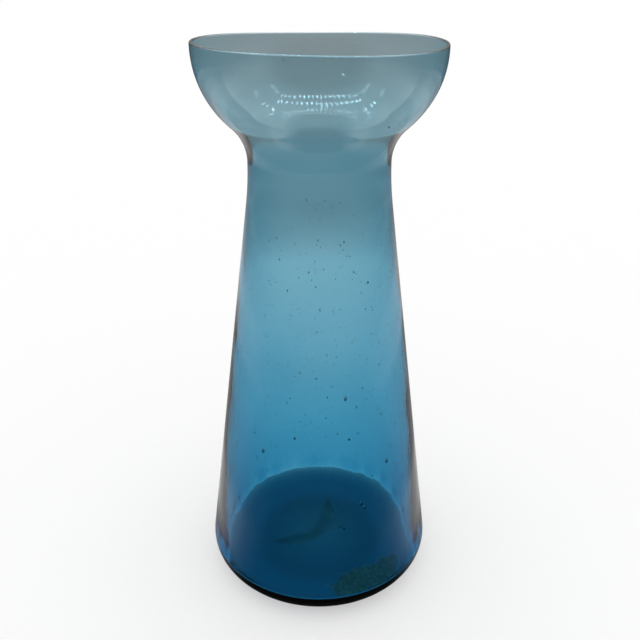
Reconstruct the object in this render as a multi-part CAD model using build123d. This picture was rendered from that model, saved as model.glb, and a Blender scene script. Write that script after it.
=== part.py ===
from build123d import *
from dataclasses import dataclass
import math
import os

# Hyacinth forcing vase: a blown glass vessel with a bulb cup on a narrow throat over a
# tapered water chamber, and two dried residue films on its inner floor.
# Millimetres, +Z up, origin on the axis in the plane that the base rests on, and the
# front, where the residue lies, towards -Y.

# Outside of the glass
overall_height = 210.0
foot_corner_radius = 46.7
heel_radius = 12.0
throat_radius = 25.2
throat_blend_radius = 110.0
shoulder_radius = 16.4
rim_radius = 42.6
cup_arc_radius = 34.4
rim_band_height = 1.0

# Glass thickness
lip_thickness = 1.1
cup_wall = 1.0
throat_wall = 1.9
foot_wall = 5.2
floor_thickness = 8.0
inner_heel_radius = 1.2
inner_throat_blend_radius = 70.0
inner_side_bulge = 0.8

# Ring that the base stands on, around a shallow hollow
rest_ring_width = 7.0
hollow_rise = 2.0

# Dried residue films on the inner floor
film_thickness = 0.3
film_margin = 0.4

# Corners of each film, as shares of the radius that the films may reach
tan_film_shares = (
    (0.82, -0.40),
    (0.69, -0.48),
    (0.54, -0.56),
    (0.39, -0.65),
    (0.24, -0.77),
    (0.08, -0.86),
    (0.10, -0.96),
    (0.34, -0.92),
    (0.55, -0.81),
    (0.72, -0.66),
    (0.81, -0.53),
)
green_film_shares = (
    (-0.53, -0.24),
    (-0.30, -0.33),
    (-0.02, -0.22),
    (0.17, 0.05),
    (0.22, 0.28),
    (0.14, 0.48),
    (0.04, 0.30),
    (-0.02, 0.10),
    (-0.12, -0.03),
    (-0.32, -0.15),
)

upward = (0, 1)
downward = (0, -1)
outward = (1, 0)


@dataclass
class Outline:
    """One face of the glass, from its base out and up to the rim, in (radius, height)."""

    base: float
    corner: float
    heel: float
    throat: float
    blend: float
    shoulder: float
    rim: float
    cup_arc: float
    bulge: float

    def throat_level(self):
        """The height of the narrowest place, under the cup that the shoulder runs into."""
        centre_distance = self.cup_arc + self.shoulder
        across = self.throat + self.shoulder - (self.rim - self.cup_arc)
        return rim_height - math.sqrt(centre_distance**2 - across**2)

    def side_top(self):
        """Where the straight side touches the arc that blends it into the throat."""
        across = self.throat + self.blend - self.corner
        rise = self.throat_level() - self.base
        distance = math.hypot(across, rise)
        angle = math.atan2(rise, across) + math.asin(self.blend / distance)
        reach = math.sqrt(distance**2 - self.blend**2)
        return (self.corner + reach * math.cos(angle), self.base + reach * math.sin(angle))

    def cup_start(self):
        """Where the shoulder's arc runs into the cup's."""
        across = self.throat + self.shoulder - (self.rim - self.cup_arc)
        rise = self.throat_level() - rim_height
        share = self.cup_arc / math.hypot(across, rise)
        return (self.rim - self.cup_arc + across * share, rim_height + rise * share)

    def side_radius(self, height):
        """The radius of the straight side at a height."""
        top_radius, top_height = self.side_top()
        share = (height - self.base) / (top_height - self.base)
        return self.corner + (top_radius - self.corner) * share

    def flat_radius(self):
        """Where the flat of the base ends and the heel's arc begins."""
        top_radius, top_height = self.side_top()
        lean = math.atan2(top_height - self.base, self.corner - top_radius)
        return self.corner - self.heel / math.tan(lean / 2)

    def side(self, straight):
        """The side: the straight line, or a shallow arc that bulges out from it."""
        if self.bulge == 0:
            return straight
        top_radius, top_height = self.side_top()
        across = Vector(top_height - self.base, self.corner - top_radius).normalized()
        return ThreePointArc(straight @ 0, straight @ 0.5 + across * self.bulge, straight @ 1)

    def edges(self, start_radius):
        """The outline's lines and arcs, from a place on the flat of the base."""
        top = self.side_top()
        run = (top[0] - self.corner, top[1] - self.base)
        throat = (self.throat, self.throat_level())
        ends = ((start_radius, self.base), (self.corner, self.base), top)
        foot = FilletPolyline(*ends, radius=self.heel)
        *bottom, straight = foot.edges().sort_by(Axis.Y)
        neck_below = TangentArc(top, throat, tangent=run)
        neck_above = TangentArc(throat, self.cup_start(), tangent=upward)
        cup = TangentArc((self.rim, rim_height), self.cup_start(), tangent=downward)
        return [*bottom, self.side(straight), neck_below, neck_above, cup]


def glass_vessel():
    """The whole vase, blown in one piece, turned from its section."""
    hollow_radius = outside.flat_radius() - rest_ring_width
    crest = (rim_radius - lip_thickness / 2, overall_height)
    band_top = rim_height + rim_band_height
    bands = [Line((face.rim, rim_height), (face.rim, band_top)) for face in (outside, inside)]
    lip = ThreePointArc((outside.rim, band_top), crest, (inside.rim, band_top))
    hollow = TangentArc((0, hollow_rise), (hollow_radius, 0), tangent=outward)
    axis = Line((0, hollow_rise), (0, floor_thickness))
    faces = [*outside.edges(hollow_radius), *inside.edges(0)]
    section = make_face([hollow, *faces, *bands, lip, axis])
    return revolve(Plane.XZ * section, axis=Axis.Z)


def residue_film(shares):
    """A thin dried film with a soft outline, lying on the flat inner floor."""
    reach = inside.flat_radius() - film_margin
    corners = [(reach * x, reach * y) for x, y in shares]
    outline = Spline(*corners, periodic=True)
    film = extrude(make_face(outline), film_thickness)
    return Pos(0, 0, floor_thickness) * film


rim_height = overall_height - lip_thickness / 2 - rim_band_height

outside = Outline(
    base=0,
    corner=foot_corner_radius,
    heel=heel_radius,
    throat=throat_radius,
    blend=throat_blend_radius,
    shoulder=shoulder_radius,
    rim=rim_radius,
    cup_arc=cup_arc_radius,
    bulge=0,
)
inside = Outline(
    base=floor_thickness,
    corner=outside.side_radius(floor_thickness) - foot_wall,
    heel=inner_heel_radius,
    throat=throat_radius - throat_wall,
    blend=inner_throat_blend_radius,
    shoulder=shoulder_radius + throat_wall,
    rim=rim_radius - lip_thickness,
    cup_arc=cup_arc_radius - cup_wall,
    bulge=inner_side_bulge,
)

parts = {
    "glass_vessel": glass_vessel(),
    "tan_residue_film": residue_film(tan_film_shares),
    "green_residue_film": residue_film(green_film_shares),
}

os.makedirs("parts", exist_ok=True)
for name, part in parts.items():
    part.label = name
    export_step(part, f"parts/{name}.step")
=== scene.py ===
import bpy
import math
import random
from dataclasses import dataclass
from mathutils import Euler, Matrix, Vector, noise


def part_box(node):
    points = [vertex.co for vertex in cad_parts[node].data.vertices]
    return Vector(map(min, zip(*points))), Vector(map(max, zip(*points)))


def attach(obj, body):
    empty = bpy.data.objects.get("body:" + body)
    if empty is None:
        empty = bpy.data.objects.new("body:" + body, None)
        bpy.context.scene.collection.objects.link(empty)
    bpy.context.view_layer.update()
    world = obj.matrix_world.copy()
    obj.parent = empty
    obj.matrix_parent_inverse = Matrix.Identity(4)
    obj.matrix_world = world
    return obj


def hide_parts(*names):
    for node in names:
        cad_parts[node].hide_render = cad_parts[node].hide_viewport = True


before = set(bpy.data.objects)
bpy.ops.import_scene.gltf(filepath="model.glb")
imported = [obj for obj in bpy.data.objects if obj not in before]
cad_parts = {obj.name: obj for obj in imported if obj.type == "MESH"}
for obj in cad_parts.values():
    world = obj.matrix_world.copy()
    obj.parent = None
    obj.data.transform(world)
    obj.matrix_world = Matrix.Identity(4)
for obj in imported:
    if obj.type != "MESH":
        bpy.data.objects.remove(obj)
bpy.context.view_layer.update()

# A millimetre in metres, and a degree and a whole turn in radians
MM = 0.001
DEG = math.pi / 180
TURN = 2 * math.pi

# Glass, outside: the same sizes as the solid, with its height and its base from the frame
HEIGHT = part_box("glass_vessel")[1].z
FOOT_CORNER_RADIUS = 46.7 * MM
HEEL_RADIUS = 12.0 * MM
THROAT_RADIUS = 25.2 * MM
THROAT_BLEND_RADIUS = 110.0 * MM
SHOULDER_RADIUS = 16.4 * MM
RIM_RADIUS = 42.6 * MM
CUP_ARC_RADIUS = 34.4 * MM
RIM_BAND_HEIGHT = 1.0 * MM

# Glass thickness
LIP_THICKNESS = 1.1 * MM
CUP_WALL = 1.0 * MM
THROAT_WALL = 1.9 * MM
FOOT_WALL = 5.2 * MM
FLOOR_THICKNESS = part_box("tan_residue_film")[0].z
INNER_HEEL_RADIUS = 1.2 * MM
INNER_THROAT_BLEND_RADIUS = 70.0 * MM
INNER_SIDE_BULGE = 0.8 * MM
REST_RING_WIDTH = 7.0 * MM
HOLLOW_RISE = 2.0 * MM

RIM_HEIGHT = HEIGHT - LIP_THICKNESS / 2 - RIM_BAND_HEIGHT

# Unevenness of the blown inner face: long waves, a floor that climbs towards the back, and a heel
# that is scalloped round the floor's edge. Each fades out over a height. Climb and scallops grow
# between two shares of the inner corner's radius, and between two shares of the way to the back
WAVE_LENGTH = 22.0 * MM
WAVE_REACH = 0.12 * MM
WAVE_FADE = 12.0 * MM
BACK_CLIMB = 1.5 * MM
CLIMB_RADIUS_SHARES = (0.25, 1.0)
CLIMB_BACK_SHARES = (0.4, 0.9)
CLIMB_FADE = 25.0 * MM
SCALLOP = 1.5 * MM
SCALLOPS_ROUND = 8.0
SCALLOP_NOISE_LEVEL = 0.1
SCALLOP_RADIUS_SHARES = (0.8, 0.95)
SCALLOP_BACK_SHARES = (0.1, 0.6)
SCALLOP_FADE = 14.0 * MM

# Unevenness of the rim: how far it stands above its mean, as waves round the axis from the front
# towards +X, (waves in a turn, cosine part, sine part), and how far below the rim they fade out
RIM_WAVES = ((1, -0.36 * MM, -0.25 * MM), (2, -0.31 * MM, -0.22 * MM), (3, 0.24 * MM, 0.0))
RIM_WAVES_FADE = 25.0 * MM

# Mesh density, and how often a ray's reach is halved to find where it meets the glass
TURN_STEPS = 256
ARC_STEP = 2.0 * DEG
SIDE_STEPS = 90
FLAT_STEPS = 24
DISC_STEPS = 96
ROOM_STEPS_ROUND = 48
ROOM_STEPS_DOWN = 24
HALVINGS = 24

# Seeds that the photograph shows in the front of the glass, (across, down) in its pixels, and the
# radius of each group
GRIT_SMALL = (
    (280, 251), (306, 254), (315, 273), (249, 303), (373, 301), (299, 314), (289, 315), (246, 327),
    (255, 330), (303, 331), (305, 341), (383, 361), (368, 365), (380, 366), (323, 375), (283, 379),
    (374, 390), (397, 390), (351, 398), (388, 398), (365, 404), (332, 409), (284, 414), (276, 414),
    (359, 415), (394, 415), (283, 60), (283, 509), (326, 556), (344, 550), (308, 577), (291, 560),
    (336, 541), (329, 531),
)
GRIT_LARGE = ((369, 283), (294, 440), (350, 441), (345, 531), (390, 127))
GRIT_SMALL_RADIUS = 0.13 * MM
GRIT_LARGE_RADIUS = 0.36 * MM
BUBBLES_SEEN = ((366, 509), (362, 505), (341, 528), (346, 400), (262, 452), (388, 462))
BUBBLE_SEEN_RADIUS = 0.55 * MM

# Seeds all round, of no particular place: how many, and their radii and heights
BUBBLE_SEED = 11
GRIT_SEED = 12
GRIT_COUNT = 130
GRIT_RADII = (0.06 * MM, 0.13 * MM)
BUBBLE_COUNT = 520
BUBBLE_RADII = (0.10 * MM, 0.27 * MM)
SEED_HEIGHTS = (14.0 * MM, 150.0 * MM)

# Shape of every seed: how far it is stretched upwards, and its mesh density
BUBBLE_STRETCH = 1.7
GRIT_STRETCHES = (0.8, 1.3)
SEED_STEPS_ROUND = 8
SEED_STEPS_DOWN = 5

# Dried residue on the floor: the line of each film, (x, y, half width), as shares of the flat
# floor's radius, and the share of its half width over which its cover fades at the edge
TAN_LINE_SHARES = (
    (0.81, -0.40, 0.008),
    (0.79, -0.45, 0.035),
    (0.74, -0.52, 0.085),
    (0.62, -0.65, 0.140),
    (0.46, -0.75, 0.165),
    (0.29, -0.84, 0.130),
    (0.10, -0.92, 0.060),
)
GREEN_LINE_SHARES = (
    (-0.52, -0.24, 0.03),
    (-0.30, -0.22, 0.11),
    (-0.06, -0.11, 0.14),
    (0.07, 0.08, 0.14),
    (0.11, 0.28, 0.11),
    (0.13, 0.46, 0.03),
)
TAN_FADE_SHARE = 0.3
GREEN_FADE_SHARE = 0.9

# Both films: their edges are ragged and keep a share of the thickness. Thickness and cover grow
# from the ends over a share of the length
FILM_THICKNESS = 0.12 * MM
FILM_GAP = 0.03 * MM
FILM_STEPS_ALONG = 72
FILM_STEPS_ACROSS = 20
FILM_RAGGED_SHARE = 0.35
FILM_RAGGED_LENGTH = 3.0 * MM
FILM_EDGE_SHARE = 0.05
FILM_SWELL_END_SHARE = 0.08
FILM_COVER_END_SHARE = 0.1

# Lamps hung over the table, in metres: each row is the (x, y) of its bends. Some are rows of lit
# bars, short or long, which the cup mirrors as dotted lines, and some are soft panes. A width and
# a pitch lie along the row and a length lies across it. Panes touch, so their width is their pitch.
# The corners are those of each lamp, (along the row, across it)
LAMP_HEIGHT = 1.0
SHORT_BAR_ROWS = (
    ((0.42, -0.10), (0.20, -0.18), (0.00, -0.20), (-0.20, -0.18), (-0.42, -0.10)),
    ((0.42, 0.03), (0.25, -0.03), (0.08, -0.07), (-0.08, -0.05), (-0.25, -0.03), (-0.42, 0.03)),
    ((-0.41, -0.74), (-0.42, -0.68)),
)
LONG_BAR_ROWS = (
    ((0.56, 0.24), (0.36, 0.26), (0.26, 0.20)),
    ((-0.56, 0.22), (-0.36, 0.26), (-0.27, 0.20)),
)
BAR_PITCH = 0.052
BAR_WIDTH = 0.016
SHORT_BAR = 0.045
LONG_BAR = 0.07
BAR_STRENGTH = 30.0
PANE_ROWS = (
    ((0.50, -0.12), (0.66, -0.22)),
    ((-0.50, -0.10), (-0.70, -0.20)),
    ((0.72, 0.20), (0.82, 0.12)),
    ((-0.72, 0.18), (-0.84, 0.10)),
)
PANE_PITCH = 0.03
PANE_LENGTH = 0.07
PANE_STRENGTH = 3.0
LAMP_CORNERS = ((-1, -1), (1, -1), (1, 1), (-1, 1))

# What the glass absorbs of red, green and blue light, per metre, and how strongly it bends light
GLASS_ABSORPTION = (400.0, 165.0, 100.0)
GLASS_IOR = 1.5

# Surface of the glass: streaks drawn along its height, fine pits and smears. Each has a noise with
# its scale along x, y and z and its detail, and a reach or a roughness. The streaks are whole up to
# one height and gone from another. The smears show between two shares of their noise
STREAK_SCALE = (150.0, 150.0, 70.0)
STREAK_DETAIL = 3.0
STREAK_REACH = 0.05 * MM
STREAKS_FULL = 85.0 * MM
STREAKS_GONE = 135.0 * MM
PIT_SCALE = (700.0, 700.0, 420.0)
PIT_DETAIL = 4.0
PIT_REACH = 0.0006 * MM
SMEAR_SCALE = (260.0, 260.0, 60.0)
SMEAR_DETAIL = 5.0
SMEAR_SHARES = (0.45, 0.75)
SMEAR_ROUGHNESS = 0.04

# Colours of the dried films and how much they cover
TAN_PALE = (1.00, 0.90, 0.45)
TAN_DARK = (0.85, 0.70, 0.34)
TAN_COVER = 0.72
GREEN_PALE = (0.30, 0.45, 0.25)
GREEN_DARK = (0.10, 0.20, 0.10)
GREEN_COVER = 0.34

# Noises of the dried films: patches of colour, and grains that are rough, raised and see-through.
# Each changes between two shares of its noise, and a hole keeps a share of the cover
PATCH_SCALE = 160.0
PATCH_DETAIL = 4.0
PATCH_SHARES = (0.35, 0.65)
GRAIN_SCALE = 900.0
GRAIN_DETAIL = 6.0
GRAIN_ROUGH_SHARES = (0.3, 0.7)
GRAIN_ROUGHNESS = (0.6, 0.95)
GRAIN_RAISED = 0.6
HOLE_SHARES = (0.3, 0.6)
HOLE_COVER_SHARE = 0.45

# The dark specks' noise, and what it changes
GRIT_SCALE = 3000.0
GRIT_DETAIL = 2.0
GRIT_COLOUR_SHARES = (0.4, 0.6)
GRIT_DARK = (0.004, 0.006, 0.008)
GRIT_PALE = (0.02, 0.025, 0.03)
GRIT_ROUGHNESS = (0.7, 0.95)
GRIT_RAISED = 0.5

# Camera, fitted to the photograph's silhouette, and half the picture's side in pixels
HALF_PICTURE = 320
CAMERA_PLACE = (0.09 * MM, -264.34 * MM, 230.4 * MM)
CAMERA_PITCH = 24.78 * DEG
CAMERA_LEAN = -0.1 * DEG
CAMERA_TURN = (math.pi / 2 - CAMERA_PITCH, CAMERA_LEAN, 0)
CAMERA_LENS = 42.59
CAMERA_SENSOR = 36.0
CAMERA_CLIPS = (0.01, 200.0)

# The pale ground that the vase stands on, and the white sky
GROUND_RADIUS = 60.0
GROUND_COLOUR = (0.55, 0.55, 0.55)
GROUND_ROUGHNESS = 0.8
GROUND_GLOW = 0.42
SKY_STRENGTH = 1.05

# How often a ray may meet something, and how often it may be mirrored
LIGHT_BOUNCES = 32
GLOSSY_BOUNCES = 12

# Brightness of what is seen through the glass and mirrored in it: (distance in metres, strength)
# for the table and (height in degrees, strength) for the walls and ceiling
# The table's strengths stand in for the light on it: the dim stops out to 52 mm are the vase's painted
# shadow under its base
TABLE_SEEN = (
    (0.024, 0.33),
    (0.030, 0.48),
    (0.052, 0.45),
    (0.053, 1.03),
    (0.100, 0.97),
    (0.160, 0.83),
    (0.350, 0.75),
    (0.400, 0.61),
    (0.450, 0.50),
    (0.550, 0.43),
    (0.720, 0.43),
    (0.850, 0.50),
    (1.000, 0.47),
    (1.200, 0.42),
    (1.600, 0.35),
    (5.000, 0.35),
)
ROOM_SEEN = ((0, 0.37), (10, 0.6), (26, 0.35), (37, 0.05), (43, 0.05), (52, 0.6), (65, 1.0), (90, 0.9))
# In front, the mirrored table is painted shadow: near black out to 0.30 m, where the vase's shadow
# falls towards the viewer
TABLE_MIRRORED = (
    (0.05, 0.02),
    (0.12, 0.0),
    (0.30, 0.0),
    (0.42, 0.1),
    (0.55, 0.45),
    (0.90, 0.45),
    (1.50, 0.3),
    (5.00, 0.2),
)
TABLE_MIRRORED_ASIDE = (
    (0.06, 0.3),
    (0.07, 0.7),
    (0.10, 0.7),
    (0.12, 0.35),
    (0.28, 0.3),
    (0.31, 0.6),
    (0.37, 0.6),
    (0.40, 0.7),
    (0.45, 0.7),
    (0.50, 0.5),
    (0.60, 0.4),
    (0.65, 0.28),
    (0.85, 0.28),
    (0.95, 0.06),
    (5.00, 0.05),
)
ROOM_MIRRORED = ((0, 0.3), (14, 0.35), (28, 1.5), (50, 1.8), (90, 1.9))

# The glowing tables' radius and how far under the ground they lie, and the rooms' radii
TABLE_REACH = 5.0
TABLE_DROP = 0.1 * MM
ROOM_SEEN_RADIUS = 5.5
ROOM_MIRRORED_RADIUS = 5.2

# The mirrored table is mostly darker in front, a painted shadow towards the viewer: the angles
# from the front between which its stops go over into those aside
ASIDE_START = 40.0 * DEG
ASIDE_END = 100.0 * DEG

# The dark spot of the room, in front and above, where the viewer stands: its height, and the
# angles from its middle at which it starts to lighten and ends
DARK_SPOT_HEIGHT = 32.0 * DEG
DARK_SPOT_INNER = 28.0 * DEG
DARK_SPOT_OUTER = 62.0 * DEG

# Where a ramp's new stop starts, before it is moved to its place
NEW_STOP_SHARE = 0.5


@dataclass
class Outline:
    """One face of the glass, from its base out and up to the rim, as (radius, height)."""

    base: float
    corner: float
    heel: float
    throat: float
    blend: float
    shoulder: float
    rim: float
    cup_arc: float
    bulge: float

    def throat_level(self):
        """The height of the narrowest place, under the cup that the shoulder runs into."""
        centre_distance = self.cup_arc + self.shoulder
        across = self.throat + self.shoulder - (self.rim - self.cup_arc)
        return RIM_HEIGHT - math.sqrt(centre_distance**2 - across**2)

    def side_top(self):
        """Where the straight side touches the arc that blends it into the throat."""
        across = self.throat + self.blend - self.corner
        rise = self.throat_level() - self.base
        distance = math.hypot(across, rise)
        angle = math.atan2(rise, across) + math.asin(self.blend / distance)
        reach = math.sqrt(distance**2 - self.blend**2)
        return (self.corner + reach * math.cos(angle), self.base + reach * math.sin(angle))

    def side_radius(self, height):
        """The radius of the straight side at a height."""
        top_radius, top_height = self.side_top()
        share = (height - self.base) / (top_height - self.base)
        return self.corner + (top_radius - self.corner) * share

    def lean(self):
        """The straight side's angle above the base, seen from inside."""
        top_radius, top_height = self.side_top()
        return math.atan2(top_height - self.base, self.corner - top_radius)

    def flat_radius(self):
        """Where the flat of the base ends and the heel's arc begins."""
        return self.corner - self.heel / math.tan(self.lean() / 2)

    def points(self):
        """The outline's points from the end of the flat base up to the rim."""
        turn = math.pi - self.lean()
        heel_centre = (self.flat_radius(), self.base + self.heel)
        heel = arc(heel_centre, self.heel, -math.pi / 2, -math.pi / 2 + turn)
        level = self.throat_level()
        blend_centre = (self.throat + self.blend, level)
        blend = arc(blend_centre, self.blend, 3 * math.pi / 2 - self.lean(), math.pi)
        straight = between(heel[-1], blend[0], SIDE_STEPS)
        shares = even_shares(SIDE_STEPS)
        side = [(r + hump(s) * self.bulge, z) for s, (r, z) in zip(shares, straight)]
        shoulder_centre = (self.throat + self.shoulder, level)
        cup_centre = (self.rim - self.cup_arc, RIM_HEIGHT)
        across = shoulder_centre[0] - cup_centre[0]
        meet = math.atan2(level - RIM_HEIGHT, across)
        shoulder = arc(shoulder_centre, self.shoulder, math.pi, meet + math.pi)
        cup = arc(cup_centre, self.cup_arc, meet, 0)
        return heel + side[1:-1] + blend + shoulder[1:] + cup[1:]


def arc(centre, radius, start, end):
    """Points of an arc about centre, from the angle start to the angle end."""
    steps = max(2, math.ceil(abs(end - start) / ARC_STEP))
    angles = [start + (end - start) * i / steps for i in range(steps + 1)]
    return [(centre[0] + radius * math.cos(a), centre[1] + radius * math.sin(a)) for a in angles]


def even_shares(steps):
    """Shares from 0 to 1 in even steps."""
    return [i / steps for i in range(steps + 1)]


def hump(share):
    """0 at the shares 0 and 1, and 1 half way between them."""
    return 4 * share * (1 - share)


def between(first, last, steps):
    """Points of a straight run."""
    return [tuple(a + (b - a) * s for a, b in zip(first, last)) for s in even_shares(steps)]


def smooth(value, low, high):
    """0 up to low, 1 from high, and a smooth climb between them."""
    share = min(1.0, max(0.0, (value - low) / (high - low)))
    return share * share * (3 - 2 * share)


OUTSIDE = Outline(
    base=0.0,
    corner=FOOT_CORNER_RADIUS,
    heel=HEEL_RADIUS,
    throat=THROAT_RADIUS,
    blend=THROAT_BLEND_RADIUS,
    shoulder=SHOULDER_RADIUS,
    rim=RIM_RADIUS,
    cup_arc=CUP_ARC_RADIUS,
    bulge=0.0,
)
INSIDE = Outline(
    base=FLOOR_THICKNESS,
    corner=OUTSIDE.side_radius(FLOOR_THICKNESS) - FOOT_WALL,
    heel=INNER_HEEL_RADIUS,
    throat=THROAT_RADIUS - THROAT_WALL,
    blend=INNER_THROAT_BLEND_RADIUS,
    shoulder=SHOULDER_RADIUS + THROAT_WALL,
    rim=RIM_RADIUS - LIP_THICKNESS,
    cup_arc=CUP_ARC_RADIUS - CUP_WALL,
    bulge=INNER_SIDE_BULGE,
)


def section():
    """The glass's section: from the axis under the base, out, up, over the lip and down inside."""
    hollow_radius = OUTSIDE.flat_radius() - REST_RING_WIDTH
    shares = even_shares(FLAT_STEPS)
    hollow = [(hollow_radius * s, HOLLOW_RISE * (1 + math.cos(math.pi * s)) / 2) for s in shares]
    lip_centre = (RIM_RADIUS - LIP_THICKNESS / 2, RIM_HEIGHT + RIM_BAND_HEIGHT)
    lip = arc(lip_centre, LIP_THICKNESS / 2, 0, math.pi)
    inner_floor = between((INSIDE.flat_radius(), FLOOR_THICKNESS), (0.0, FLOOR_THICKNESS), FLAT_STEPS)
    outside = OUTSIDE.points()
    inside = INSIDE.points()[::-1]
    return hollow[:-1], outside, lip, inside, inner_floor[1:]


def at(radius, angle, height):
    """A place at an angle round the axis, from the front towards +X."""
    return (radius * math.sin(angle), -radius * math.cos(angle), height)


def angle_of(place):
    """The angle of a place round the axis, from the front towards +X."""
    return math.atan2(place.x, -place.y)


def turned_mesh(name, points, move, cavities):
    """A closed mesh turned about the axis, with closed cavities, each (middle, radius), in its wall.
    The first and last points lie on the axis."""
    vertices = []
    rings = []
    for index, (radius, height) in enumerate(points):
        if index in (0, len(points) - 1):
            rings.append([len(vertices)])
            vertices.append((0.0, 0.0, height))
            continue
        ring = []
        for step in range(TURN_STEPS):
            angle = TURN * step / TURN_STEPS
            r, z = move(index, radius, height, angle)
            ring.append(len(vertices))
            vertices.append(at(r, angle, z))
        rings.append(ring)
    faces = []
    for low, high in zip(rings, rings[1:]):
        for step in range(TURN_STEPS):
            after = (step + 1) % TURN_STEPS
            if len(low) == 1:
                faces.append((low[0], high[after], high[step]))
            elif len(high) == 1:
                faces.append((low[step], low[after], high[0]))
            else:
                faces.append((low[step], low[after], high[after], high[step]))
    for middle, radius in cavities:
        own_vertices, own_faces = pebble(middle, radius, BUBBLE_STRETCH)
        faces += [tuple(len(vertices) + i for i in reversed(face)) for face in own_faces]
        vertices += own_vertices
    return new_mesh(name, vertices, faces)


def new_mesh(name, vertices, faces):
    """A mesh of these vertices and faces."""
    mesh = bpy.data.meshes.new(name)
    mesh.from_pydata(vertices, [], faces)
    mesh.update()
    return mesh


def pebble(middle, radius, stretch):
    """The vertices and faces of a small ellipsoid, stretched upwards."""
    tip = Vector((0, 0, radius * stretch))
    vertices = [middle + tip, middle - tip]
    for row in range(1, SEED_STEPS_DOWN):
        fall = math.pi * row / SEED_STEPS_DOWN
        across = radius * math.sin(fall)
        rise = radius * stretch * math.cos(fall)
        for step in range(SEED_STEPS_ROUND):
            angle = TURN * step / SEED_STEPS_ROUND
            vertices.append(middle + Vector((across * math.cos(angle), across * math.sin(angle), rise)))
    faces = []
    last = 2 + (SEED_STEPS_DOWN - 2) * SEED_STEPS_ROUND
    for step in range(SEED_STEPS_ROUND):
        after = (step + 1) % SEED_STEPS_ROUND
        faces.append((0, 2 + step, 2 + after))
        faces.append((1, last + after, last + step))
        for row in range(SEED_STEPS_DOWN - 2):
            low = 2 + row * SEED_STEPS_ROUND
            high = low + SEED_STEPS_ROUND
            faces.append((low + step, high + step, high + after, low + after))
    return vertices, faces


def face_radius(points, height):
    """The radius of a face's points at a height."""
    for (low_radius, low), (high_radius, high) in zip(points, points[1:]):
        if low <= height < high:
            return low_radius + (high_radius - low_radius) * (height - low) / (high - low)
    return points[-1][0]


def in_wall(angle, height):
    """The middle of the wall, at an angle round the axis from the front."""
    radius = (face_radius(OUTSIDE.points(), height) + face_radius(INSIDE.points(), height)) / 2
    return Vector(at(radius, angle, height))


def in_front_wall(across, down):
    """The middle of the wall behind a place of the photograph, (across, down) in pixels."""
    turn = Euler(CAMERA_TURN).to_matrix()
    half = CAMERA_SENSOR / CAMERA_LENS / 2
    x = (across / HALF_PICTURE - 1) * half
    y = (1 - down / HALF_PICTURE) * half
    ray = (turn @ Vector((x, y, -1))).normalized()
    face = OUTSIDE.points()
    near, far = 0.0, -CAMERA_PLACE[1] / ray.y
    for _ in range(HALVINGS):
        middle = (near + far) / 2
        place = Vector(CAMERA_PLACE) + ray * middle
        if place.xy.length < face_radius(face, max(place.z, 0.0)):
            far = middle
        else:
            near = middle
    return in_wall(angle_of(place), max(place.z, SEED_HEIGHTS[0]))


def anywhere_in_wall(chance):
    """A place of the wall, drawn by chance."""
    return in_wall(chance.uniform(0, TURN), chance.uniform(*SEED_HEIGHTS))


def bubbles():
    """The glass's air bubbles: those that the photograph shows, and fine ones all round."""
    chance = random.Random(BUBBLE_SEED)
    seen = [(in_front_wall(*spot), BUBBLE_SEEN_RADIUS) for spot in BUBBLES_SEEN]
    fine = [(anywhere_in_wall(chance), chance.uniform(*BUBBLE_RADII)) for _ in range(BUBBLE_COUNT)]
    return seen + fine


def grit():
    """Dark specks in the glass: those that the photograph shows, and fine ones all round."""
    chance = random.Random(GRIT_SEED)
    specks = [(in_front_wall(*spot), GRIT_SMALL_RADIUS) for spot in GRIT_SMALL]
    specks += [(in_front_wall(*spot), GRIT_LARGE_RADIUS) for spot in GRIT_LARGE]
    specks += [(anywhere_in_wall(chance), chance.uniform(*GRIT_RADII)) for _ in range(GRIT_COUNT)]
    vertices = []
    faces = []
    for middle, radius in specks:
        own_vertices, own_faces = pebble(middle, radius, chance.uniform(*GRIT_STRETCHES))
        faces += [tuple(len(vertices) + i for i in face) for face in own_faces]
        vertices += own_vertices
    mesh = new_mesh("glass_grit", vertices, faces)
    mesh.shade_smooth()
    piece = add_object("glass_grit", mesh)
    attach(piece, "root")
    return piece


def add_object(name, mesh):
    """A new object at the origin, in the scene's collection."""
    piece = bpy.data.objects.new(name, mesh)
    bpy.context.scene.collection.objects.link(piece)
    return piece


def backness(angle):
    """0 in front, 1 behind."""
    return (1 - math.cos(angle)) / 2


def climb(radius, height, angle):
    """How far the inner floor climbs towards the back."""
    towards_back = smooth(backness(angle), *CLIMB_BACK_SHARES)
    by_radius = smooth(radius / INSIDE.corner, *CLIMB_RADIUS_SHARES)
    by_height = 1 - smooth(height - FLOOR_THICKNESS, 0.0, CLIMB_FADE)
    return BACK_CLIMB * towards_back * by_radius * by_height


def scallop(radius, height, angle):
    """How far the inner heel stands in or out, in soft scallops round the floor's edge."""
    round_the_axis = Vector((math.sin(angle), math.cos(angle), SCALLOP_NOISE_LEVEL))
    lobes = noise.noise(round_the_axis * SCALLOPS_ROUND)
    by_radius = smooth(radius / INSIDE.corner, *SCALLOP_RADIUS_SHARES)
    by_height = 1 - smooth(height - FLOOR_THICKNESS, 0.0, SCALLOP_FADE)
    towards_back = smooth(backness(angle), *SCALLOP_BACK_SHARES)
    return SCALLOP * lobes * by_radius * by_height * towards_back


def rim_rise(angle):
    """How far the rim stands above its mean height."""
    waves = [c * math.cos(n * angle) + s * math.sin(n * angle) for n, c, s in RIM_WAVES]
    return sum(waves)


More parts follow.
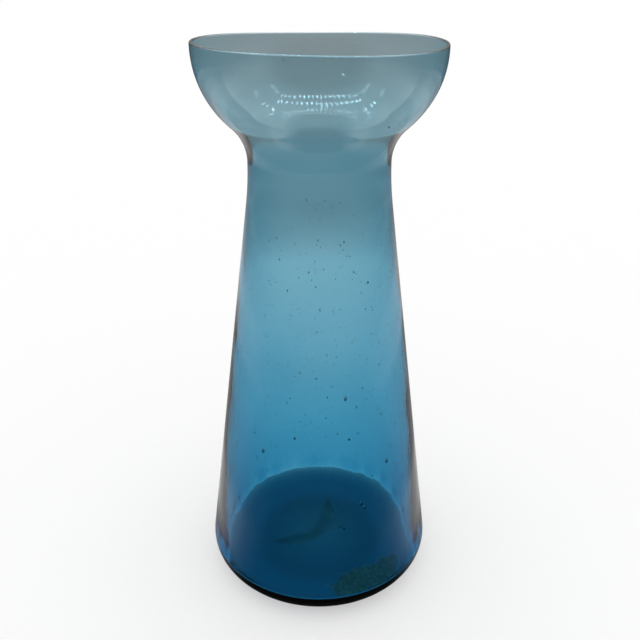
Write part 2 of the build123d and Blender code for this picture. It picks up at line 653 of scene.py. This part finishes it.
def glass_vessel():
    """The blown glass, with its uneven rim and the slow waves of its inner face."""
    hollow, outside, lip, inside, inner_floor = section()
    points = hollow + outside + lip + inside + inner_floor
    first_inside = len(hollow) + len(outside) + len(lip)

    highest = max(rim_rise(TURN * step / TURN_STEPS) for step in range(TURN_STEPS))

    def move(index, radius, height, angle):
        """Where a point of the section, turned to an angle, ends up in its uneven place."""
        dip = (highest - rim_rise(angle)) * smooth(height, HEIGHT - RIM_WAVES_FADE, HEIGHT)
        if index < first_inside:
            return radius, height - dip
        place = Vector(at(radius, angle, height))
        below_rim = smooth(RIM_HEIGHT - height, 0.0, WAVE_FADE)
        wave = WAVE_REACH * below_rim * noise.noise(place / WAVE_LENGTH)
        lift = climb(radius, height, angle) - dip
        nearness = min(1.0, radius / INSIDE.throat)
        return radius + wave * nearness + scallop(radius, height, angle), height + lift

    mesh = turned_mesh("vase_glass", points, move, bubbles())
    mesh.shade_smooth()
    piece = add_object("vase_glass", mesh)
    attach(piece, "root")
    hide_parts("glass_vessel")
    return piece


def new_material(name, kind):
    """A material with one shader of a kind on its surface: it, its nodes, shader and output."""
    material = bpy.data.materials.new(name)
    material.use_nodes = True
    tree = material.node_tree
    tree.nodes.clear()
    output = tree.nodes.new("ShaderNodeOutputMaterial")
    shader = tree.nodes.new(kind)
    tree.links.new(shader.outputs[0], output.inputs["Surface"])
    return material, tree, shader, output


def connect(tree, shader, values):
    """Values linked to the shader's inputs of these names."""
    for name, value in values.items():
        tree.links.new(value, shader.inputs[name])


def object_place(tree):
    """The shaded place, as a place in the object."""
    return tree.nodes.new("ShaderNodeTexCoord").outputs["Object"]


def noise_at(tree, place, scale, detail):
    """The strength of a noise at a place."""
    grain = tree.nodes.new("ShaderNodeTexNoise")
    grain.inputs["Scale"].default_value = scale
    grain.inputs["Detail"].default_value = detail
    tree.links.new(place, grain.inputs["Vector"])
    return grain.outputs["Fac"]


def stretched_noise(tree, scale, detail):
    """A noise in the object, with its own scale along each axis."""
    stretch = tree.nodes.new("ShaderNodeMapping")
    stretch.inputs["Scale"].default_value = scale
    tree.links.new(object_place(tree), stretch.inputs["Vector"])
    return noise_at(tree, stretch.outputs["Vector"], 1.0, detail)


def part_along(tree, vector, axis):
    """A vector's part along X, Y or Z."""
    parts = tree.nodes.new("ShaderNodeSeparateXYZ")
    tree.links.new(vector, parts.inputs["Vector"])
    return parts.outputs[axis]


def mapped(tree, value, span, reach=(0.0, 1.0), kind="LINEAR"):
    """A value that goes through a span, turned into one that goes through a reach."""
    share = tree.nodes.new("ShaderNodeMapRange")
    share.interpolation_type = kind
    for name, limit in zip(("From Min", "From Max", "To Min", "To Max"), (*span, *reach)):
        share.inputs[name].default_value = limit
    tree.links.new(value, share.inputs["Value"])
    return share.outputs["Result"]


def product(tree, first, second):
    """The product of two values."""
    both = tree.nodes.new("ShaderNodeMath")
    both.operation = "MULTIPLY"
    tree.links.new(first, both.inputs[0])
    tree.links.new(second, both.inputs[1])
    return both.outputs["Value"]


def fading_upwards(tree, value, full, gone):
    """A value that is whole below one height in the object and gone above another."""
    height = part_along(tree, object_place(tree), "Z")
    return product(tree, mapped(tree, height, (gone, full), kind="SMOOTHSTEP"), value)


def raised(tree, height, reach, strength=1.0, below=None):
    """The normal of a surface raised by a height of up to reach, over another such normal."""
    bump = tree.nodes.new("ShaderNodeBump")
    bump.inputs["Strength"].default_value = strength
    bump.inputs["Distance"].default_value = reach
    tree.links.new(height, bump.inputs["Height"])
    if below:
        tree.links.new(below, bump.inputs["Normal"])
    return bump.outputs["Normal"]


def ramp(tree, value, stops):
    """A colour that follows stops, (share, colour), with a value from 0 to 1."""
    colours = tree.nodes.new("ShaderNodeValToRGB")
    band = colours.color_ramp
    while len(band.elements) < len(stops):
        band.elements.new(NEW_STOP_SHARE)
    for element, (share, colour) in zip(band.elements, stops):
        element.position = share
        element.color = (*colour, 1)
    tree.links.new(value, colours.inputs["Fac"])
    return colours.outputs["Color"]


def grey_ramp(tree, value, stops, top=1.0):
    """Greys that follow stops, (share, strength), where top is white."""
    return ramp(tree, value, [(share, (strength / top,) * 3) for share, strength in stops])


def blue_glass():
    """Clear glass that takes much red, some green and little blue, by the thickness crossed."""
    material, tree, shader, output = new_material("clear_blue_glass", "ShaderNodeBsdfPrincipled")
    shader.inputs["Base Color"].default_value = (1, 1, 1, 1)
    shader.inputs["IOR"].default_value = GLASS_IOR
    shader.inputs["Transmission Weight"].default_value = 1.0
    smears = stretched_noise(tree, SMEAR_SCALE, SMEAR_DETAIL)
    rough = mapped(tree, smears, SMEAR_SHARES, (0.0, SMEAR_ROUGHNESS))
    streaks = stretched_noise(tree, STREAK_SCALE, STREAK_DETAIL)
    low_streaks = fading_upwards(tree, streaks, STREAKS_FULL, STREAKS_GONE)
    streaked = raised(tree, low_streaks, STREAK_REACH)
    pits = stretched_noise(tree, PIT_SCALE, PIT_DETAIL)
    pitted = raised(tree, pits, PIT_REACH, below=streaked)
    connect(tree, shader, {"Roughness": rough, "Normal": pitted})
    absorb = tree.nodes.new("ShaderNodeVolumeAbsorption")
    red, green, blue = GLASS_ABSORPTION
    absorb.inputs["Density"].default_value = red
    absorb.inputs["Color"].default_value = (0.0, 1 - green / red, 1 - blue / red, 1)
    tree.links.new(absorb.outputs["Volume"], output.inputs["Volume"])
    return material


def residue(name, pale, dark, cover):
    """A dried film: patchy in colour, rough, a little raised in grains, and thinning to its edges."""
    material, tree, shader, _ = new_material(name, "ShaderNodeBsdfPrincipled")
    patches = noise_at(tree, object_place(tree), PATCH_SCALE, PATCH_DETAIL)
    grains = noise_at(tree, object_place(tree), GRAIN_SCALE, GRAIN_DETAIL)
    holes = mapped(tree, grains, HOLE_SHARES, (cover * HOLE_COVER_SHARE, cover))
    edge = tree.nodes.new("ShaderNodeAttribute")
    edge.attribute_name = "cover"
    looks = {
        "Base Color": ramp(tree, patches, list(zip(PATCH_SHARES, (dark, pale)))),
        "Roughness": grey_ramp(tree, grains, list(zip(GRAIN_ROUGH_SHARES, GRAIN_ROUGHNESS))),
        "Normal": raised(tree, grains, FILM_THICKNESS, GRAIN_RAISED),
        "Alpha": product(tree, holes, edge.outputs["Fac"]),
    }
    connect(tree, shader, looks)
    return material


def dark_grit():
    """Dark specks of sand and soot, uneven and rough."""
    material, tree, shader, _ = new_material("dark_grit", "ShaderNodeBsdfPrincipled")
    grain = noise_at(tree, object_place(tree), GRIT_SCALE, GRIT_DETAIL)
    looks = {
        "Base Color": ramp(tree, grain, list(zip(GRIT_COLOUR_SHARES, (GRIT_DARK, GRIT_PALE)))),
        "Roughness": mapped(tree, grain, (0.0, 1.0), GRIT_ROUGHNESS),
        "Normal": raised(tree, grain, GRIT_SMALL_RADIUS, GRIT_RAISED),
    }
    connect(tree, shader, looks)
    return material


def direction(tree):
    """The direction from the origin to the shaded place."""
    place = tree.nodes.new("ShaderNodeNewGeometry")
    unit = tree.nodes.new("ShaderNodeVectorMath")
    unit.operation = "NORMALIZE"
    tree.links.new(place.outputs["Position"], unit.inputs[0])
    return unit.outputs["Vector"]


def aside_share(tree):
    """0 in front, where the mirrored table holds painted shadow, 1 at the sides and behind."""
    span = (-math.cos(ASIDE_START), -math.cos(ASIDE_END))
    return mapped(tree, part_along(tree, direction(tree), "Y"), span, kind="SMOOTHSTEP")


def outside_dark_spot(tree, strength):
    """The strength, but nothing in the dark spot."""
    nearness = tree.nodes.new("ShaderNodeVectorMath")
    nearness.operation = "DOT_PRODUCT"
    middle = (0.0, -math.cos(DARK_SPOT_HEIGHT), math.sin(DARK_SPOT_HEIGHT))
    nearness.inputs[1].default_value = middle
    tree.links.new(direction(tree), nearness.inputs[0])
    span = (math.cos(DARK_SPOT_INNER), math.cos(DARK_SPOT_OUTER))
    return mapped(tree, nearness.outputs["Value"], span, (0.0, strength), "SMOOTHSTEP")


def height_share(tree):
    """The share from 0, straight down, to 1, straight up, of the direction from the origin."""
    return mapped(tree, part_along(tree, direction(tree), "Z"), (-1.0, 1.0))


def distance_share(tree):
    """The share, on a scale of square roots, of the distance from the axis to the table's reach."""
    place = tree.nodes.new("ShaderNodeNewGeometry")
    length = tree.nodes.new("ShaderNodeVectorMath")
    length.operation = "LENGTH"
    part = tree.nodes.new("ShaderNodeMath")
    part.operation = "DIVIDE"
    part.inputs[1].default_value = TABLE_REACH
    root = tree.nodes.new("ShaderNodeMath")
    root.operation = "SQRT"
    tree.links.new(place.outputs["Position"], length.inputs[0])
    tree.links.new(length.outputs["Value"], part.inputs[0])
    tree.links.new(part.outputs["Value"], root.inputs[0])
    return root.outputs["Value"]


def glow(name, share_of_place, stops, aside=(), spot=False):
    """A glowing material whose strength follows stops, (share, strength), along a share from 0 to 1.
    With other stops aside, it follows those at the sides and behind."""
    material, tree, shader, _ = new_material(name, "ShaderNodeEmission")
    material.cycles.emission_sampling = "NONE"
    top = max(strength for _, strength in (*stops, *aside))
    share = share_of_place(tree)
    grey = grey_ramp(tree, share, stops, top)
    if aside:
        mix = tree.nodes.new("ShaderNodeMix")
        mix.data_type = "RGBA"
        tree.links.new(aside_share(tree), mix.inputs["Factor"])
        tree.links.new(grey, mix.inputs["A"])
        tree.links.new(grey_ramp(tree, share, aside, top), mix.inputs["B"])
        grey = mix.outputs["Result"]
    tree.links.new(grey, shader.inputs["Color"])
    shader.inputs["Strength"].default_value = top
    if spot:
        tree.links.new(outside_dark_spot(tree, top), shader.inputs["Strength"])
    return material


def only_in_glass(piece, mirrored):
    """The piece is met only by mirrored rays, or only by those that come through the glass."""
    piece.visible_camera = False
    piece.visible_diffuse = False
    piece.visible_shadow = False
    piece.visible_volume_scatter = False
    piece.visible_glossy = mirrored
    piece.visible_transmission = not mirrored


def disc(name, radius, height):
    """A flat disc about the axis, as one ring of faces round a middle point."""
    angles = [TURN * step / DISC_STEPS for step in range(DISC_STEPS)]
    vertices = [(0.0, 0.0, height)]
    vertices += [(radius * math.cos(a), radius * math.sin(a), height) for a in angles]
    faces = [(0, step + 1, (step + 1) % DISC_STEPS + 1) for step in range(DISC_STEPS)]
    return add_object(name, new_mesh(name, vertices, faces))


def table_shares(stops):
    """Stops by distance, turned into stops by the table's share."""
    return [(math.sqrt(distance / TABLE_REACH), strength) for distance, strength in stops]


def surroundings(mirrored, table, aside, room, radius):
    """A table and a round room, mirrored in the glass or seen through it, that glow by their stops; the
    tables' stops hold painted shadow.
    """
    name = "mirrored" if mirrored else "seen"
    piece = disc(f"table_{name}", TABLE_REACH, -TABLE_DROP)
    material = glow(f"table_{name}", distance_share, table_shares(table), table_shares(aside))
    piece.data.materials.append(material)
    only_in_glass(piece, mirrored)
    shares = [((1 + math.sin(degrees * DEG)) / 2, strength) for degrees, strength in room]
    add_sphere = bpy.ops.mesh.primitive_uv_sphere_add
    add_sphere(segments=ROOM_STEPS_ROUND, ring_count=ROOM_STEPS_DOWN, radius=radius, location=(0, 0, 0))
    piece = bpy.context.object
    piece.name = f"room_{name}"
    piece.data.materials.append(glow(f"room_{name}", height_share, shares, spot=True))
    only_in_glass(piece, mirrored)


def camera():
    """The photograph's viewpoint, fitted to the silhouette."""
    data = bpy.data.cameras.new("photo_camera")
    data.sensor_width = CAMERA_SENSOR
    data.lens = CAMERA_LENS
    data.clip_start, data.clip_end = CAMERA_CLIPS
    eye = bpy.data.objects.new("photo_camera", data)
    eye.location = CAMERA_PLACE
    eye.rotation_euler = CAMERA_TURN
    bpy.context.scene.collection.objects.link(eye)
    bpy.context.scene.camera = eye


def ground():
    """The pale ground, which is neither mirrored in the glass nor seen through it."""
    piece = disc("floor", GROUND_RADIUS, 0.0)
    material, _, shader, _ = new_material("floor", "ShaderNodeBsdfPrincipled")
    shader.inputs["Base Color"].default_value = (*GROUND_COLOUR, 1)
    shader.inputs["Roughness"].default_value = GROUND_ROUGHNESS
    shader.inputs["Specular IOR Level"].default_value = 0.0
    shader.inputs["Emission Color"].default_value = (1, 1, 1, 1)
    shader.inputs["Emission Strength"].default_value = GROUND_GLOW
    piece.data.materials.append(material)
    piece.visible_glossy = False
    piece.visible_transmission = False


def light():
    """A white sky, which lights the ground evenly."""
    world = bpy.data.worlds.new("studio")
    world.use_nodes = True
    background = world.node_tree.nodes["Background"]
    background.inputs["Color"].default_value = (1, 1, 1, 1)
    background.inputs["Strength"].default_value = SKY_STRENGTH
    bpy.context.scene.world = world


def along(line, share):
    """A place of a line's numbers, a smooth curve through all its points, at a share of its steps."""
    step = min(int(share * (len(line) - 1)), len(line) - 2)
    part = share * (len(line) - 1) - step
    before = line[max(step - 1, 0)]
    after = line[min(step + 2, len(line) - 1)]
    values = []
    for a, b, c, d in zip(before, line[step], line[step + 1], after):
        bend = 2 * a - 5 * b + 4 * c - d
        twist = 3 * b - a - 3 * c + d
        values.append((2 * b + (c - a) * part + bend * part**2 + twist * part**3) / 2)
    return values


def heading(line, step, steps):
    """The direction in which a line runs at one of its steps, seen from above."""
    ahead = along(line, min(1.0, (step + 1) / steps))
    behind = along(line, max(0.0, (step - 1) / steps))
    return Vector((ahead[0] - behind[0], ahead[1] - behind[1])).normalized()


def film(name, node, line, material, soft_edge):
    """A dried film on the floor, along a line: ragged at its edges, and thickest in its middle."""
    reach = INSIDE.flat_radius()
    tops = []
    bottoms = []
    cover = []
    for i in range(FILM_STEPS_ALONG + 1):
        x, y, half = along(line, i / FILM_STEPS_ALONG)
        run = heading(line, i, FILM_STEPS_ALONG)
        across = Vector((-run.y, run.x))
        ends = min(i, FILM_STEPS_ALONG - i) / FILM_STEPS_ALONG
        for j in range(FILM_STEPS_ACROSS + 1):
            aside = 2 * j / FILM_STEPS_ACROSS - 1
            place = Vector((x, y)) * reach + across * (aside * half * reach)
            ragged = noise.noise(Vector((*place, 0.0)) / FILM_RAGGED_LENGTH)
            place += across * (aside * half * reach * ragged * FILM_RAGGED_SHARE)
            place *= min(1.0, reach / place.length)
            floor_lift = climb(place.length, FLOOR_THICKNESS, angle_of(place))
            height = FLOOR_THICKNESS + FILM_GAP + floor_lift
            swell = (1 - aside**2) * smooth(ends, 0.0, FILM_SWELL_END_SHARE)
            inwards = smooth(1 - abs(aside), 0.0, soft_edge)
            bottoms.append((*place, height))
            tops.append((*place, height + FILM_THICKNESS * (FILM_EDGE_SHARE + swell)))
            cover.append(inwards * smooth(ends, 0.0, FILM_COVER_END_SHARE))
    mesh = new_mesh(name, tops + bottoms, film_faces(len(tops)))
    layer = mesh.attributes.new("cover", "FLOAT", "POINT")
    layer.data.foreach_set("value", cover + cover)
    mesh.materials.append(material)
    mesh.shade_smooth()
    piece = add_object(name, mesh)
    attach(piece, "root")
    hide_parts(node)


def film_faces(half):
    """The faces of a closed sheet: its top's, its bottom's and those round its edge."""
    wide = FILM_STEPS_ACROSS + 1
    faces = []
    for i in range(FILM_STEPS_ALONG):
        for j in range(FILM_STEPS_ACROSS):
            a = i * wide + j
            faces.append((a, a + wide, a + wide + 1, a + 1))
            faces.append((half + a, half + a + 1, half + a + wide + 1, half + a + wide))
    last = FILM_STEPS_ALONG * wide
    edge = list(range(wide))
    edge += [i * wide + wide - 1 for i in range(1, FILM_STEPS_ALONG + 1)]
    edge += [last + j for j in reversed(range(wide - 1))]
    edge += [i * wide for i in reversed(range(1, FILM_STEPS_ALONG))]
    for a, b in zip(edge, edge[1:] + edge[:1]):
        faces.append((a, b, half + b, half + a))
    return faces


def lamps(name, rows, pitch, width, length, strength):
    """Rows of lamps over the table, mirrored in the glass and seen through it."""
    vertices = []
    for row in rows:
        reach = sum(math.dist(a, b) for a, b in zip(row, row[1:]))
        count = round(reach / pitch)
        for i in range(count + 1):
            middle = Vector(along(row, i / count))
            run = heading(row, i, count)
            half = run * width / 2
            side = Vector((-run.y, run.x)) * length / 2
            corners = [middle + half * a + side * b for a, b in LAMP_CORNERS]
            vertices += [(corner.x, corner.y, LAMP_HEIGHT) for corner in corners]
    starts = range(0, len(vertices), len(LAMP_CORNERS))
    faces = [tuple(range(start, start + len(LAMP_CORNERS))) for start in starts]
    mesh = new_mesh(name, vertices, faces)
    material, _, shader, _ = new_material(name, "ShaderNodeEmission")
    material.cycles.emission_sampling = "NONE"
    shader.inputs["Strength"].default_value = strength
    mesh.materials.append(material)
    piece = add_object(name, mesh)
    only_in_glass(piece, True)
    piece.visible_transmission = True


camera()
ground()
surroundings(False, TABLE_SEEN, (), ROOM_SEEN, ROOM_SEEN_RADIUS)
surroundings(True, TABLE_MIRRORED, TABLE_MIRRORED_ASIDE, ROOM_MIRRORED, ROOM_MIRRORED_RADIUS)
light()
vase = glass_vessel()
vase.data.materials.append(blue_glass())
grit().data.materials.append(dark_grit())
tan = residue("dried_tan_film", TAN_PALE, TAN_DARK, TAN_COVER)
green = residue("dried_green_film", GREEN_PALE, GREEN_DARK, GREEN_COVER)
film("tan_film", "tan_residue_film", TAN_LINE_SHARES, tan, TAN_FADE_SHARE)
film("green_film", "green_residue_film", GREEN_LINE_SHARES, green, GREEN_FADE_SHARE)
lamps("short_bars", SHORT_BAR_ROWS, BAR_PITCH, BAR_WIDTH, SHORT_BAR, BAR_STRENGTH)
lamps("long_bars", LONG_BAR_ROWS, BAR_PITCH, BAR_WIDTH, LONG_BAR, BAR_STRENGTH)
lamps("lamp_panes", PANE_ROWS, PANE_PITCH, PANE_PITCH, PANE_LENGTH, PANE_STRENGTH)

scene = bpy.context.scene
scene.view_settings.view_transform = "Standard"
scene.view_settings.look = "None"
scene.cycles.max_bounces = LIGHT_BOUNCES
scene.cycles.transmission_bounces = LIGHT_BOUNCES
scene.cycles.glossy_bounces = GLOSSY_BOUNCES
scene.cycles.transparent_max_bounces = LIGHT_BOUNCES
